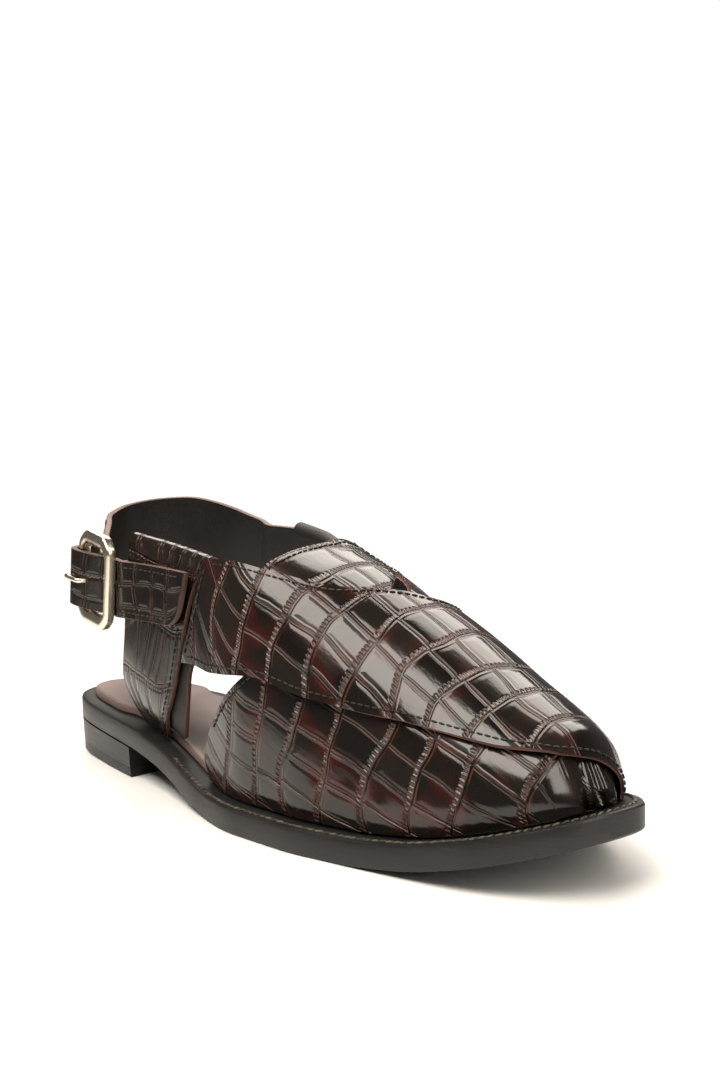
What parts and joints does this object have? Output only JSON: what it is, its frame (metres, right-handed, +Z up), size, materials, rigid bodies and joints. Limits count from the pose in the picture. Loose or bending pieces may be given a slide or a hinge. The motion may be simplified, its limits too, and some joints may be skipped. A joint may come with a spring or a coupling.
{
  "type": "peshawari chappal",
  "caption": "Closed-toe leather sandal with a wide crossed upper, low stacked heel, looped side straps and a buckled heel strap.",
  "frame": {"origin": "bottom centre of the whole shoe's box, on the floor", "axes": "+X from heel to toe, +Y to the inner (medial) side, +Z up"},
  "size_m": [0.29, 0.0982, 0.1066],
  "materials": {
    "embossed_leather": "glossy crocodile emboss",
    "lining_leather": "matt",
    "sole_leather": "waxed edge",
    "insole_leather": "smooth matt",
    "polished_metal": "polished pale nickel"
  },
  "bodies": {
    "root": {"outsole": "sole_leather", "heel": "sole_leather", "insole": "insole_leather", "upper": "embossed_leather", "cross_panel": "embossed_leather", "tongue": "embossed_leather", "side_strap_lateral": "embossed_leather", "side_strap_medial": "embossed_leather", "heel_strap": "lining_leather", "buckle_billet": "lining_leather", "buckle_frame": "polished_metal", "buckle_bar": "polished_metal", "buckle_prong": "polished_metal"}
  },
  "joints": []
}
